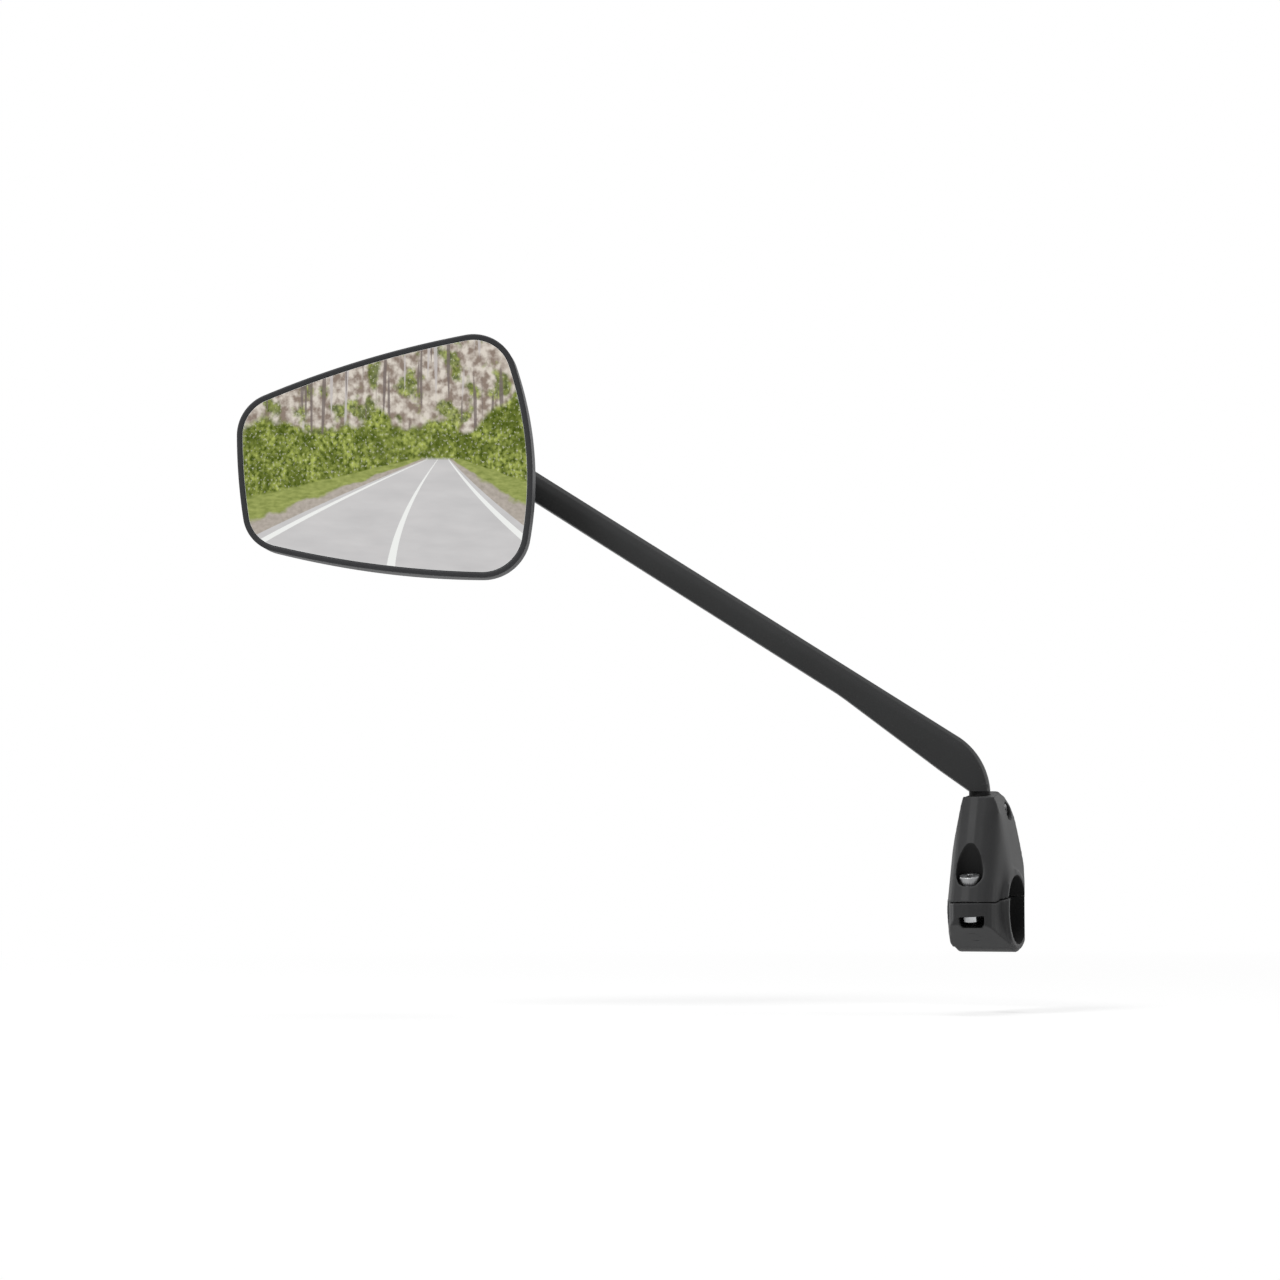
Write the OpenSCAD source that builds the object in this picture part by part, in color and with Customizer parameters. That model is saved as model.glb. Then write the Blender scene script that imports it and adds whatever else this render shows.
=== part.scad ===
// Handlebar mirror: hinged bar clamp, swivelling arm, ball-jointed mirror head.
// Millimetres, +Z up. Origin on the handlebar axis at the middle of the clamp.
// +X runs along the handlebar, the rider looks from -Y.

/* [Handlebar clamp] */

// Diameter of the handlebar the clamp closes on
bar_d = 22.2; // [21.8:0.1:22.6]

// Wall of the clamp ring outside the bar
ring_wall = 2.7; // [2.5:0.1:2.9]

// Width of the lower jaw along the bar
jaw_w = 20.6; // [19.6:0.2:22]

// Width of the tower's ring part along the bar
tower_ring_w = 19.6; // [19:0.2:20.4]

/* [Tower] */

// Height of the tower top above the bar axis
tower_top = 38; // [37:0.5:40]

// Width of the rounded front of the tower
tower_w = 15.6; // [15:0.2:16.2]

// Lean of the tower's front face from upright
face_lean = 20.7; // [20:0.1:21.5]

/* [Arm] */

// Diameter of the upright stem that turns in the tower
stem_d = 6.8; // [6.4:0.1:7]

// Thickness of the arm, front to back
arm_t = 8; // [7.6:0.2:9]

// Height of the arm blade, measured upright
blade_h = 10.3; // [9.8:0.1:10.9]

// Distance of the ball joint from the stem, measured level along the arm
arm_reach = 178; // [165:1:190]

// Turn of the arm about its stem at rest
arm_yaw = 17.5; // [0:0.5:35]

/* [Mirror head] */

// Thickness of the mirror glass
glass_t = 2; // [1.6:0.1:2.4]

// Width of the rim around the glass
rim_w = 1.75; // [1.5:0.05:2]

// Depth of the glass front below the rim front
glass_sink = 0.5; // [0.3:0.1:0.8]

// Radius of the domed back of the head
dome_r = 130; // [120:5:150]

/* [Ball joint] */

// Diameter of the ball on the stud
ball_d = 13; // [12.6:0.1:13.2]

// Wall of the socket liner around the ball
liner_wall = 1.25; // [1.1:0.05:1.4]

// Radial running clearance in every turning fit
run_clear = 0.05; // [0.03:0.01:0.08]

/* [Hidden] */

$fn = 96;
bar_r = bar_d / 2;
bore_r = bar_r + 0.05;
ring_r = bar_r + ring_wall;
face_gap = 0.3;
seat_gap = 0.05;

// parting height of the jaws at the front and at the hinge side
part_front = 2.6;
part_back = 4.5;
part_dip = 1;

// hinge pin behind the bar
pin_y = ring_r + 2.6;
pin_z = part_back;
pin_r = 1.25;
knuckle_r = 2.9;
knuckle_w = 8.6;
knuckle_mid = 3.8;

// clamp screw: floor of its pocket and its lean, the top towards the rider
screw_x = -0.9;
screw_y = -(ring_r + 4.7);
screw_z = 8.2;
screw_lean = 15;
m4_r = 2;
screw_len = 14;
screw_head_r = 3.4;
screw_head_h = 2.6;
pocket_r = 4.2;
screw_washer_t = 0.5;
screw_tip = screw_washer_t - screw_len;
washer_t = 0.8;
nut4_af = 7;
nut4_h = 3.2;
nut4_seat = -8.6;
nut_slot_w = 8.2;
nut_slot_h = 4.3;
// turn of the nut slot, its mouth towards the ring's right end
nut_slot_yaw = 12;

// front face of the tower, with a flat ridge down its middle
face_x = -1.2;
face_y = screw_y - 6.25;
ridge_w = 2.4;
// on the jaw the left side is drawn in further, and the front ends higher up
boss_in = 0.7;
boss_foot = -2.4;

// stem socket and pinch screw
stem_x = -1.5;
stem_y = -4.5;
stem_r = stem_d / 2;
stem_bottom = 18;
ledge_z = 15.5;
pilot_r = 2.3;
keeper_r = 3.7;
lock_y = 2.6;
lock_z = tower_top - 5.9;
// fall of the tower's top towards its front lip
lip_drop = 1.3;
m3_r = 1.5;
nut3_af = 5.5;
lock_head_r = 2.6;
lock_head_x = 3.2;
lock_nut_x = -3.6;
slot_w = 1.6;

// arm outline in its own upright plane, u level and z up
arm_slope = 0.633;
upper_z0 = 52.2;
elbow_u = -19.4;
elbow_z = 37.3;
elbow_r = 23;
arm_foot = tower_top + 0.55;
bend_u = 45.4;
toe_u = 11.2;
toe_z = 5.6;
bend_top = 6.2;
ball_u = -arm_reach;
ball_z = upper_z0 + arm_slope * arm_reach - blade_h / 2 + 0.15;
arm_end_r = 7;
bevel = 1.6;

// ball joint, y measured from the ball centre towards the arm
ball_r = ball_d / 2;
ball_v = -(arm_t / 2 + 11.5);
neck_r = 2.4;
collar_t = 1.4;
collar_y = 11.5 - seat_gap - collar_t;
liner_r = ball_r + run_clear + liner_wall;
socket_r = liner_r + run_clear;
socket_wall = 2;
open_angle = 46;
cap_y = -9;
cap_t = 2;
cap_r = 15;
cap_screw_ring = 11.6;

// head, y from the rim front towards the arm
rim_y = -21.5;
glass_y = rim_y + glass_sink;
pad_t = 1;
pad_y = glass_y + glass_t;
ledge_y = pad_y + pad_t;
head_dx = -12;
head_dz = -13;
dome_y = 2;
shell_t = 2;
ledge_w = 1.6;
glass_gap = 0.1;

// corner circles of the head outline: centre x, centre z, radius
corners = [[27, 24.3, 14], [-35.5, 5.9, 14], [-34.5, -19.1, 12.9], [30, -25.5, 15]];
// bulge of the side that follows each corner
bulges = [1.8, 0.5, 1.75, 3.6];

black = [0.11, 0.115, 0.125];
steel = [0.72, 0.73, 0.75];

// ---- helpers ----

// a flat shape drawn in Y and Z, made w wide along X about the middle
module along_x(w) {
  rotate([90, 0, 90])
    linear_extrude(height = w, center = true)
      children();
}

// a flat shape drawn in X and Z, made t thick along Y from y0 towards +Y
module along_y(y0, t) {
  translate([0, y0 + t, 0])
    rotate([90, 0, 0])
      linear_extrude(height = t)
        children();
}

// a cylinder lying along Y from y0 to y1
module rod_y(r, y0, y1) {
  translate([0, y0, 0])
    rotate([-90, 0, 0])
      cylinder(h = y1 - y0, r = r);
}

// a rod along Y from y0 to the origin, closed there by a half ball
module round_rod_y(r, y0) {
  rotate([-90, 0, 0])
    rotate_extrude()
      intersection() {
        union() {
          circle(r = r);
          translate([0, y0])
            square([r, -y0]);
        }
        translate([0, -60])
          square([60, 120]);
      }
}

// a cylinder lying along X about the middle
module rod_x(r, w) {
  rotate([0, 90, 0])
    cylinder(h = w, r = r, center = true);
}

// frame of the clamp screw: z up its axis, origin at the pocket floor
module screw_frame() {
  translate([screw_x, screw_y, screw_z])
    rotate([screw_lean, 0, 0])
      children();
}

// frame of the arm: u level along the arm, v through it, origin on the stem axis
module arm_frame() {
  translate([stem_x, stem_y, 0])
    rotate([0, 0, arm_yaw])
      children();
}

// frame of the head: origin at the ball centre, y towards the arm
module head_frame() {
  arm_frame()
    translate([ball_u, ball_v, ball_z])
      children();
}

// hexagon with the given width across flats, flats facing Y
module hex(af, h) {
  cylinder(h = h, r = af / 2 / cos(30), $fn = 6);
}

function mid(a, b, t) = a + (b - a) * t;

function bezier(a, b, c, t) = mid(mid(a, b, t), mid(b, c, t), t);

// outward direction of the straight tangent from corner i to the next
function side_dir(i) =
  let (a = corners[i], b = corners[(i + 1) % 4])
  let (d = [b[0] - a[0], b[1] - a[1]])
  atan2(d[1], d[0]) - 90 + asin((a[2] - b[2]) / norm(d));

// turn of the outline's end direction caused by the bulge of side i
function side_turn(i) =
  let (a = corners[i], b = corners[(i + 1) % 4])
  4 * bulges[i] / norm([b[0] - a[0], b[1] - a[1]]) * 180 / PI;

function corner_point(i, ang, inset) =
  [corners[i][0] + (corners[i][2] - inset) * cos(ang),
   corners[i][1] + (corners[i][2] - inset) * sin(ang)];

function corner_arc(i, inset) =
  let (a0 = side_dir((i + 3) % 4) + side_turn((i + 3) % 4))
  let (raw = side_dir(i) - side_turn(i))
  let (a1 = raw < a0 - 30 ? raw + 360 : raw)
  [for (k = [0 : 10]) corner_point(i, mid(a0, a1, k / 10), inset)];

function side_curve(i, inset) =
  let (p = corner_point(i, side_dir(i) - side_turn(i), inset))
  let (q = corner_point((i + 1) % 4, side_dir(i) + side_turn(i), inset))
  let (w = [cos(side_dir(i)), sin(side_dir(i))])
  [for (k = [1 : 11]) mid(p, q, k / 12) + w * bulges[i] * 4 * k / 12 * (1 - k / 12)];

function outline(inset) =
  [for (i = [0 : 3]) for (p = concat(corner_arc(i, inset), side_curve(i, inset))) p];

// the head outline, drawn in by inset, in the frame of the ball centre
module head_outline(inset) {
  translate([head_dx, head_dz])
    polygon(outline(inset));
}

// ---- clamp ----

// plan of the ring: full width in front, narrower towards the hinge
module ring_plan() {
  linear_extrude(height = 120, center = true)
    polygon([[-12.5, -40], [12.5, -40], [12.5, -0.6], [8.6, 14], [8.6, 40],
      [-8.6, 40], [-8.6, 14], [-12.5, -0.6]]);
}

// ring with chamfered ends
module ring_body(w) {
  intersection() {
    union() {
      rod_x(ring_r, w - 1.6);
      rod_x(ring_r - 0.8, w);
    }
    ring_plan();
  }
}

// side view of the parting: low at the front, rising to the hinge, raised by dz.
// Behind the bar it dips again, so that no light passes through the gap
module parting_line(dz) {
  polygon([[-60, part_front + dz], [-17, part_front + dz], [-9.5, part_back + dz],
    [bore_r, part_back + dz], [ring_r, part_back - part_dip + dz],
    [60, part_back - part_dip + dz], [60, 140], [-60, 140]]);
}

// everything above the parting
module above_parting() {
  along_x(80)
    parting_line(0);
}

// everything below the parting, one face_gap away from the tower
module below_parting() {
  difference() {
    translate([-40, -60, -100])
      cube([80, 120, 140]);
    along_x(90)
      parting_line(-face_gap);
  }
}

// plan of the rounded front shared by the tower and the jaw boss
module front_plan(more_in = 0) {
  h = tower_w / 2;
  w = ridge_w / 2;
  // the left side is drawn in a little
  left_in = [0, 0.1, 0.4, 0.7, 0.9, 1, 1, 0.3, 0];
  right = [[w, 0], [4, 0.85], [5.6, 1.7], [6.9, 2.9], [h, 4.4], [h + 0.7, 6.6],
    [h + 1.3, 9.5], [h + 3.4, 16], [h + 3.4, 60]];
  left = [for (k = [len(right) - 1 : -1 : 0])
    [-right[k][0] + left_in[k] + (k > 1 ? more_in : 0), right[k][1]]];
  translate([face_x, 0])
    polygon(concat(right, left));
}

// side view of the tower
module tower_side() {
  shoulder = [for (k = [0 : 14])
    bezier([2, tower_top + 0.8], [9.6, tower_top - 3], [ring_r - 1, 14], k / 14)];
  lip = tower_top - lip_drop;
  polygon(concat([[-4, -2], [face_y - 3, -2], [face_y - 3, lip], [stem_y - 4.5, lip],
    [stem_y + 3, tower_top]], shoulder, [[ring_r - 0.6, -2]]));
}

// front view of the tower: it spreads from a rounded top to the width of the ring
module tower_front() {
  h = tower_ring_w / 2;
  t = tower_top;
  polygon([[h, -2], [h, 6], [h - 0.4, 11], [h - 1.1, 16], [h - 1.9, 22], [h - 3, t - 8],
    [h - 4, t - 4], [h - 5.3, t - 1], [h - 6.4, t], [h - 6.7, t + 5],
    [-h + 5.5, t + 5], [-h + 5.3, t], [-h + 4.5, t - 1], [-h + 3.8, t - 4],
    [-h + 3.3, t - 8], [-h + 2.1, 22], [-h + 1.1, 16], [-h + 0.4, 11], [-h, 6], [-h, -2]]);
}

// bevels on both back corners of the tower
module back_bevels() {
  t = tower_top;
  edge = [[11.9, -2], [11.9, 9], [11.6, 15.7], [11.2, 20], [10.5, 24], [9.4, t - 9.5],
    [8, t - 5], [6.3, t - 2], [5.1, t - 0.5], [3.8, t + 0.4], [1.9, t + 1], [1.8, t + 5]];
  intersection_for (m = [0, 1])
    mirror([m, 0, 0])
      rotate([0, 0, 14.5])
        along_y(-60, 120)
          polygon(concat([[-60, -2]], edge, [[-60, t + 5]]));
}

module tower_block() {
  intersection() {
    along_x(60)
      tower_side();
    along_y(-40, 80)
      tower_front();
    translate([0, face_y, part_front])
      rotate([-face_lean, 0, 0])
        linear_extrude(height = 160, center = true)
          front_plan();
    back_bevels();
  }
}

module clamp_tower() {
  color(black)
  difference() {
    intersection() {
      union() {
        ring_body(tower_ring_w);
        tower_block();
        // lugs that carry the two ends of the hinge pin
        along_x(knuckle_w)
          polygon([[ring_r - 3, 6], [ring_r - 2.5, 12], [pin_y + 1.5, pin_z + 2.4],
            [pin_y + 1, pin_z]]);
        translate([0, pin_y, pin_z])
          rod_x(knuckle_r, knuckle_w);
      }
      union() {
        above_parting();
        translate([0, pin_y, pin_z])
          rod_x(knuckle_r, knuckle_w);
      }
    }
    // bore for the handlebar
    rod_x(bore_r, 60);
    // room for the jaw's middle knuckle
    translate([0, pin_y, pin_z])
      rod_x(knuckle_r + face_gap, knuckle_mid + 2 * face_gap);
    translate([0, pin_y, pin_z])
      rod_x(pin_r, 30);
    // clamp screw: hole, and a pocket open to the front
    screw_frame() {
      translate([0, 0, -20])
        cylinder(h = 25, r = m4_r + 0.2);
      cylinder(h = 60, r = pocket_r);
    }
    // stem socket, the ledge under it and the room for the keeper screw
    translate([stem_x, stem_y, stem_bottom - seat_gap])
      cylinder(h = 40, r = stem_r + run_clear);
    translate([stem_x, stem_y, 5])
      cylinder(h = 30, r = pilot_r + run_clear);
    translate([stem_x, stem_y, 2])
      cylinder(h = ledge_z - 2, r = keeper_r + 0.2);
    // slot that lets the collar pinch the stem
    translate([stem_x - slot_w / 2, stem_y, tower_top - 12.5])
      cube([slot_w, 40, 20]);
    // pinch screw: hole, round recess on the right, hexagon on the left
    translate([0, lock_y, lock_z]) {
      rod_x(m3_r + 0.1, 40);
      translate([lock_head_x, 0, 0])
        rotate([0, 90, 0])
          cylinder(h = 20, r = lock_head_r + 0.3);
      translate([lock_nut_x, 0, 0])
        rotate([0, -90, 0])
          hex(nut3_af + 0.1, 20);
    }
  }
}

// all but the lower left corner of the jaw boss, which is cut off flat
module boss_corner() {
  translate([-jaw_w / 2, -9.9, -9.6])
    rotate([0, -11.4, 19.8])
      translate([0, -40, -40])
        cube([80, 80, 80]);
}

module lower_jaw() {
  color(black)
  difference() {
    union() {
      intersection() {
        union() {
          ring_body(jaw_w);
          // rounded boss in front that holds the nut, its underside drawn back to the ring
          intersection() {
            along_x(jaw_w)
              polygon([[-ring_r + 2, 8], [face_y - 3, 8], [face_y - 3, boss_foot + 0.6],
                [face_y, boss_foot], [face_y + 2.2, boss_foot - 2.4],
                [-6.4, -12.2], [-5, -8]]);
            translate([0, face_y, 0])
              linear_extrude(height = 160, center = true)
                front_plan(boss_in);
            boss_corner();
          }
          // web to the hinge
          along_x(knuckle_mid)
            polygon([[ring_r - 3, 1], [pin_y - 1, pin_z - 2.6], [pin_y + 1, pin_z - 2.7],
              [ring_r - 3, -7]]);
        }
        below_parting();
      }
      translate([0, pin_y, pin_z])
        rod_x(knuckle_r, knuckle_mid);
    }
    rod_x(bore_r, 60);
    translate([0, pin_y, pin_z])
      rod_x(pin_r + run_clear, 30);
    screw_frame() {
      // hole for the screw, long towards the bar so that the jaw can swing off it,
      // and going on below the nut as a well for the screw's tip
      translate([0, 0, screw_tip - 0.5])
        cylinder(h = 24, r = m4_r + 0.25);
      translate([-m4_r - 0.25, 0, nut4_seat])
        cube([2 * m4_r + 0.5, 0.6, 20]);
      translate([0, 0.6, nut4_seat])
        cylinder(h = 20, r = m4_r + 0.25);
      // pocket for the nut, and the slot in front that it is pushed in through
      translate([0, 0, nut4_seat - nut_slot_h])
        hex(nut4_af + 0.1, nut_slot_h);
      translate([0, 0, nut4_seat])
        rotate([0, 0, nut_slot_yaw])
          along_y(-30, 30)
            polygon([[-nut_slot_w / 2, 0], [nut_slot_w / 2, 0], [nut_slot_w / 2, -2.6],
              [nut_slot_w / 2 - 1, -nut_slot_h], [-nut_slot_w / 2 + 1, -nut_slot_h],
              [-nut_slot_w / 2, -2.6]]);
    }
  }
}

module hinge_pin() {
  color(steel)
  translate([0, pin_y, pin_z])
    rod_x(pin_r, knuckle_w - 0.4);
}

module clamp_screw() {
  color(steel)
  screw_frame() {
    difference() {
      union() {
        translate([0, 0, screw_tip])
          cylinder(h = screw_len, r = m4_r);
        translate([0, 0, screw_washer_t])
          cylinder(h = screw_head_h - 0.5, r = screw_head_r);
        translate([0, 0, screw_washer_t + screw_head_h - 0.5])
          cylinder(h = 0.5, r1 = screw_head_r, r2 = screw_head_r - 0.5);
      }
      // hexagon socket in the head
      translate([0, 0, screw_washer_t + 0.6])
        hex(2.5, 5);
    }
  }
}

module clamp_washer() {
  color(steel)
  screw_frame()
    difference() {
      cylinder(h = screw_washer_t, r = 4);
      translate([0, 0, -1])
        cylinder(h = 3, r = m4_r + run_clear);
    }
}

module clamp_nut() {
  color(steel)
  screw_frame()
    translate([0, 0, nut4_seat - nut4_h])
      difference() {
        intersection() {
          hex(nut4_af, nut4_h);
          cylinder(h = nut4_h, r1 = nut4_af / 2 + 0.1, r2 = nut4_af / 2 + 1.9);
        }
        translate([0, 0, -1])
          cylinder(h = 10, r = m4_r + 0.2);
      }
}

module lock_screw() {
  color(steel)
  translate([lock_head_x, lock_y, lock_z])
    rotate([0, 90, 0])
      difference() {
        union() {
          cylinder(h = 2.2, r = lock_head_r);
          translate([0, 0, lock_nut_x - lock_head_x - 2.4])
            cylinder(h = lock_head_x - lock_nut_x + 2.4, r = m3_r);
        }
        translate([0, 0, 0.7])
          hex(2, 5);
      }
}

module lock_nut() {
  color(steel)
  translate([lock_nut_x, lock_y, lock_z])
    rotate([0, -90, 0])
      difference() {
        hex(nut3_af, 2.2);
        translate([0, 0, -1])
          cylinder(h = 10, r = m3_r + 0.02);
      }
}

// ---- arm ----

// side view of the arm in u and z
module arm_side() {
  a0 = atan2(upper_z0 + arm_slope * bend_top - elbow_z, -bend_top - elbow_u);
  low = arm_foot;
  arc_end = asin((low - elbow_z) / elbow_r);
  elbow = [for (k = [0 : 16])
    [elbow_u + elbow_r * cos(mid(a0, arc_end, k / 16)),
     elbow_z + elbow_r * sin(mid(a0, arc_end, k / 16))]];
  polygon(concat(
    [[ball_u, ball_z + blade_h / 2], [ball_u, ball_z - blade_h / 2]],
    [[-bend_u, upper_z0 + arm_slope * bend_u - blade_h - 0.65], [-toe_u, low + toe_z],
     [-stem_r + 0.15, low]],
    [for (k = [16 : -1 : 0]) elbow[k]]));
}

// a square bar stood on its edge along each side of the upper edge
module edge_bevel(z0, cut) {
  for (v = [-arm_t / 2, arm_t / 2])
    translate([-6, v, z0 + arm_slope * 6])
      rotate([0, atan(arm_slope), 0])
        rotate([45, 0, 0])
          cube([2.4 * arm_reach, cut * sqrt(2), cut * sqrt(2)], center = true);
}

module arm() {
  color(black)
  arm_frame() {
    difference() {
      union() {
        difference() {
          along_y(-arm_t / 2, arm_t)
            arm_side();
          // bevel along the whole upper edge, front and back
          intersection() {
            edge_bevel(upper_z0, bevel);
            translate([-bend_top - 400, -50, 0])
              cube([400, 100, 400]);
          }
          // the bevel carried round the elbow
          translate([elbow_u, 0, elbow_z])
            rotate([90, 0, 0])
              for (m = [0, 1])
                mirror([0, 0, m])
                  rotate([0, 0, -4])
                    rotate_extrude(angle = 61)
                      polygon([[elbow_r - bevel, arm_t / 2 + 0.01],
                        [elbow_r + 0.5, arm_t / 2 - bevel - 0.5],
                        [elbow_r + 0.5, arm_t / 2 + 0.01]]);
        }
        // round end behind the head
        translate([ball_u, 0, ball_z])
          rod_y(arm_end_r, -arm_t / 2, arm_t / 2);
        // stem and its pilot
        translate([0, 0, stem_bottom])
          cylinder(h = arm_foot - stem_bottom + 4, r = stem_r);
        translate([0, 0, ledge_z - 0.6])
          cylinder(h = 6, r = pilot_r);
      }
      // hole and pocket for the shank and nut of the ball stud
      translate([ball_u, 0, ball_z]) {
        rod_y(m4_r + run_clear, -20, 20);
        rod_y(4.8, arm_t / 2 - 4.2, 20);
      }
      // thread for the keeper screw
      translate([0, 0, ledge_z - 5])
        cylinder(h = 14, r = 1.25);
    }
  }
}

// dished spring washer that loads the stem against the ledge
module stem_spring() {
  color(steel)
  arm_frame()
    translate([0, 0, ledge_z - 0.55])
      difference() {
        cylinder(h = 0.5, r = keeper_r - 0.2);
        translate([0, 0, -1])
          cylinder(h = 3, r = pilot_r + run_clear);
      }
}

module stem_washer() {
  color(steel)
  arm_frame()
    translate([0, 0, ledge_z - 0.6 - washer_t])
      difference() {
        cylinder(h = washer_t, r = keeper_r);
        translate([0, 0, -1])
          cylinder(h = 3, r = 1.25 + run_clear);
      }
}

module stem_screw() {
  color(steel)
  arm_frame()
    translate([0, 0, ledge_z - 0.6 - washer_t])
      difference() {
        union() {
          translate([0, 0, -1.9])
            cylinder(h = 1.9, r = 2.5);
          cylinder(h = 8.5, r = 1.24);
        }
        // cross recess
        for (a = [0, 90])
          rotate([0, 0, a])
            translate([-1.4, -0.3, -3])
              cube([2.8, 0.6, 2.1]);
      }
}

// ---- ball joint ----

module ball_stud() {
  color(steel)
  head_frame()
    difference() {
      union() {
        sphere(r = ball_r);
        rod_y(neck_r, 0, collar_y + 0.5);
        translate([0, collar_y, 0])
          rotate([-90, 0, 0])
            hex(8, collar_t);
        rod_y(m4_r, collar_y, 11.5 + arm_t - 0.4);
      }
      // flat on the hidden front of the ball
      rod_y(10, -20, -ball_r + 0.6);
    }
}

module stud_washer() {
  color(steel)
  head_frame()
    difference() {
      rod_y(4.4, 11.5 + arm_t - 4.15, 11.5 + arm_t - 3.35);
      rod_y(m4_r + run_clear, 0, 40);
    }
}

module stud_nut() {
  color(steel)
  head_frame()
    translate([0, 11.5 + arm_t - 3.35, 0])
      rotate([-90, 0, 0])
        difference() {
          hex(nut4_af, 2.6);
          translate([0, 0, -1])
            cylinder(h = 10, r = m4_r + 0.02);
        }
}

// slit plastic liner that snaps over the ball
module socket_liner() {
  color([0.75, 0.74, 0.7])
  head_frame()
    difference() {
      sphere(r = liner_r);
      sphere(r = ball_r + run_clear);
      rotate([-90, 0, 0])
        cylinder(h = 20, r1 = 0, r2 = 20 * tan(open_angle));
      rotate([90, 0, 0])
        cylinder(h = 20, r1 = 0, r2 = 20 * tan(open_angle + 6));
      // four slits from the open edge
      for (a = [45, 135])
        rotate([0, a, 0])
          translate([-20, -1, -0.4])
            cube([40, 20, 0.8]);
    }
}

// ---- head ----

// solid inside the domed back and the outline
module head_solid(inset, depth, y0) {
  intersection() {
    along_y(y0, 40)
      head_outline(inset);
    translate([head_dx, dome_y - dome_r, head_dz])
      sphere(r = dome_r - depth, $fn = 160);
  }
}

module head_shell() {
  color(black)
  head_frame()
    difference() {
      union() {
        difference() {
          head_solid(0, 0, rim_y);
          // room for the glass and its foam pad
          along_y(rim_y - 1, ledge_y - rim_y + 1)
            head_outline(rim_w);
          head_solid(rim_w + ledge_w, shell_t, ledge_y - 0.5);
        }
        // socket tube with a round outer end
        round_rod_y(socket_r + socket_wall, cap_y - 1);
        // ribs that stiffen the back
        intersection() {
          head_solid(rim_w + 0.5, 0.5, ledge_y + 0.4);
          for (a = [0, 90, 180, 270])
            rotate([0, a + 20, 0])
              translate([socket_r + 1, ledge_y, -0.75])
                cube([80, 40, 1.5]);
        }
        // posts for the cap screws
        intersection() {
          head_solid(rim_w, 0.5, cap_y - 1);
          for (a = [45 : 90 : 315])
            rotate([0, a + 20, 0])
              translate([cap_screw_ring, 0, 0])
                rod_y(2.4, cap_y - 1, 30);
        }
      }
      // round seat for the liner, open to the glass side
      round_rod_y(socket_r, -30);
      // mouth for the neck of the stud
      rotate([-90, 0, 0])
        cylinder(h = 30, r1 = 0, r2 = 30 * tan(open_angle));
      // room for the cap between the ribs
      rod_y(cap_r + 0.3, ledge_y - 5, cap_y);
      // threads for the cap screws
      for (a = [45 : 90 : 315])
        rotate([0, a + 20, 0])
          translate([cap_screw_ring, 0, 0])
            rod_y(1.05, cap_y - 1, cap_y + 5);
    }
}

module socket_cap() {
  color(black)
  head_frame()
    difference() {
      union() {
        rod_y(cap_r, cap_y - cap_t, cap_y);
        rod_y(socket_r - 0.05, cap_y - 0.5, -1.5);
      }
      sphere(r = socket_r);
      for (a = [45 : 90 : 315])
        rotate([0, a + 20, 0])
          translate([cap_screw_ring, 0, 0])
            rod_y(1.3, -30, 0);
    }
}

module cap_screws() {
  color(steel)
  head_frame()
    for (a = [45 : 90 : 315])
      rotate([0, a + 20, 0])
        translate([cap_screw_ring, 0, 0])
          difference() {
            union() {
              rod_y(2.1, cap_y - cap_t - 1.5, cap_y - cap_t);
              rod_y(1.04, cap_y - cap_t - 0.2, cap_y + 4.4);
            }
            translate([-1.2, cap_y - cap_t - 2, -0.25])
              cube([2.4, 1.2, 0.5]);
            translate([-0.25, cap_y - cap_t - 2, -1.2])
              cube([0.5, 1.2, 2.4]);
          }
}

module glass_pad() {
  color([0.16, 0.16, 0.17])
  head_frame()
    along_y(pad_y, pad_t)
      head_outline(rim_w + glass_gap);
}

module mirror_glass() {
  color([0.85, 0.88, 0.9])
  head_frame()
    along_y(glass_y, glass_t)
      head_outline(rim_w + glass_gap);
}

// ---- assembly ----

clamp_tower();
lower_jaw();
hinge_pin();
clamp_screw();
clamp_washer();
clamp_nut();
lock_screw();
lock_nut();
arm();
stem_spring();
stem_washer();
stem_screw();
ball_stud();
stud_washer();
stud_nut();
socket_liner();
head_shell();
socket_cap();
cap_screws();
glass_pad();
mirror_glass();
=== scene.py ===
import math

import bmesh
import bpy
import numpy as np
from mathutils import Matrix, Vector


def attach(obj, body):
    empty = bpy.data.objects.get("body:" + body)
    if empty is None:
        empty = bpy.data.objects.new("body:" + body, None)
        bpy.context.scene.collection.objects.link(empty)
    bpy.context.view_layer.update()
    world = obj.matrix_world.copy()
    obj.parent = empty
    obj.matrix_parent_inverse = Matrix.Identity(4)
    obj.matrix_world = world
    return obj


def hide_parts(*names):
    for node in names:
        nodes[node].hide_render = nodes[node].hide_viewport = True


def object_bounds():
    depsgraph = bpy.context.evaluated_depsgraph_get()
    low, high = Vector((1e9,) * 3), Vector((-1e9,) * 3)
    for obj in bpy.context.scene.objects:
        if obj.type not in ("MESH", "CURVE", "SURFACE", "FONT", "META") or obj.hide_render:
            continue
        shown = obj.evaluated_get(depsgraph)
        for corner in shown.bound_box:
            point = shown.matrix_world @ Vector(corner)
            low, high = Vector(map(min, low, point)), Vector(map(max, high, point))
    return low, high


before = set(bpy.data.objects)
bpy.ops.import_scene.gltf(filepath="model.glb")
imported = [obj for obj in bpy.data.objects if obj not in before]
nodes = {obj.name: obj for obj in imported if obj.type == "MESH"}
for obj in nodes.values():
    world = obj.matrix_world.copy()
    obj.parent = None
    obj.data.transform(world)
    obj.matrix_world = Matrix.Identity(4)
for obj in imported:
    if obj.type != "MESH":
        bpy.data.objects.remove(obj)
cad_low, cad_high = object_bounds()


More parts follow.
